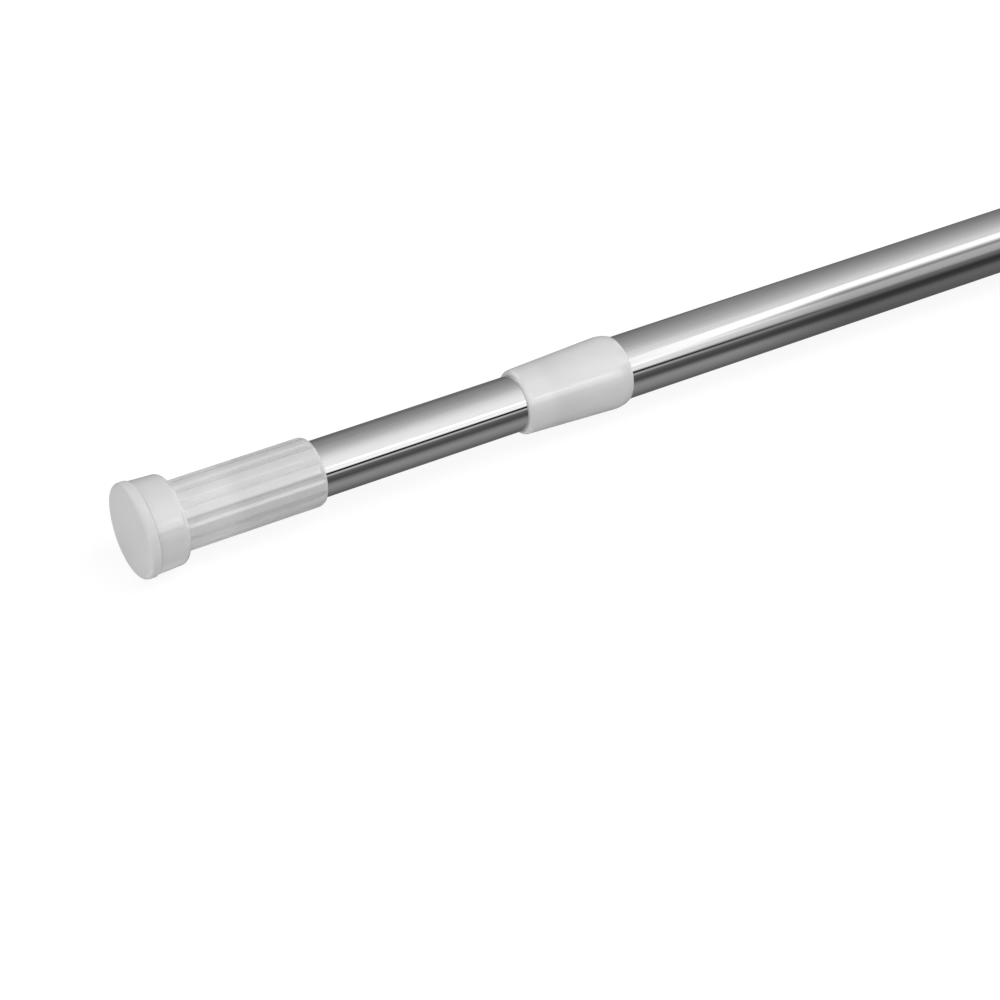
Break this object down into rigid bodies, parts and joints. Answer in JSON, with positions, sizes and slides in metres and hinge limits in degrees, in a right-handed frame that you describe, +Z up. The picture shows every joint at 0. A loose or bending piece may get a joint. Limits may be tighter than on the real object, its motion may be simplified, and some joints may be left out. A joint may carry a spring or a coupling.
{
  "type": "spring tension rod",
  "caption": "Telescoping spring tension rod of plated steel tube, with a tapered plastic collar, fluted end caps, soft foot pads, and a twist lock and spring inside.",
  "frame": {"origin": "middle of the outer foot pad's end face, on the rod's axis", "axes": "+X along the rod, from the outer tube's foot to the inner tube's foot; +Z up, as the rod hangs between two walls"},
  "size_m": [0.7744, 0.0362, 0.0362],
  "materials": {
    "chrome_tube": "bright chrome plate with faint drawing lines along the tube",
    "milky_plastic": "milky translucent moulded polyethylene, semi-gloss",
    "soft_pad": "milky soft vinyl, satin",
    "nylon": "natural nylon, as moulded",
    "zinc_steel": "zinc plated",
    "spring_steel": "bright drawn wire, oiled",
    "black_rubber": "moulded rubber, matte"
  },
  "bodies": {
    "outer": {"outer_tube": "chrome_tube", "collar": "milky_plastic", "outer_end_cap": "milky_plastic", "outer_foot_pad": "soft_pad"},
    "lock": {"expander": "nylon", "drag_ring": "black_rubber"},
    "cone": {"cone_nut": "nylon"},
    "screw": {"spindle": "zinc_steel", "spring_plate": "zinc_steel", "plate_clip": "zinc_steel", "journal_clip": "zinc_steel", "nut_clip": "zinc_steel", "thrust_washer": "zinc_steel"},
    "inner": {"inner_tube": "chrome_tube", "inner_end_cap": "milky_plastic", "inner_foot_pad": "soft_pad", "guide_bush": "nylon", "bush_rivets": "zinc_steel", "stop_plug": "nylon", "stop_pin": "zinc_steel", "spring": "spring_steel"}
  },
  "joints": [
    {"name": "telescope", "type": "slide", "parent": "outer", "child": "lock", "axis": [1, 0, 0], "range_m": [-0.06, 0.325]},
    {"name": "twist", "type": "hinge", "parent": "lock", "child": "screw", "pos_m": [0.1874, 0, 0], "axis": [-1, 0, 0], "range_deg": [0, 360]},
    {"name": "cone_travel", "type": "slide", "parent": "lock", "child": "cone", "axis": [1, 0, 0], "range_m": [0, 0.003]},
    {"name": "spring_travel", "type": "slide", "parent": "screw", "child": "inner", "axis": [1, 0, 0], "range_m": [-0.025, 0], "stiffness_N_per_m": 4090, "springref_m": 0.006, "deforming": ["spring"]}
  ],
  "couplings": [
    {"joint": "cone_travel", "follows": "twist", "m_per_rad": 0.00047746}
  ]
}
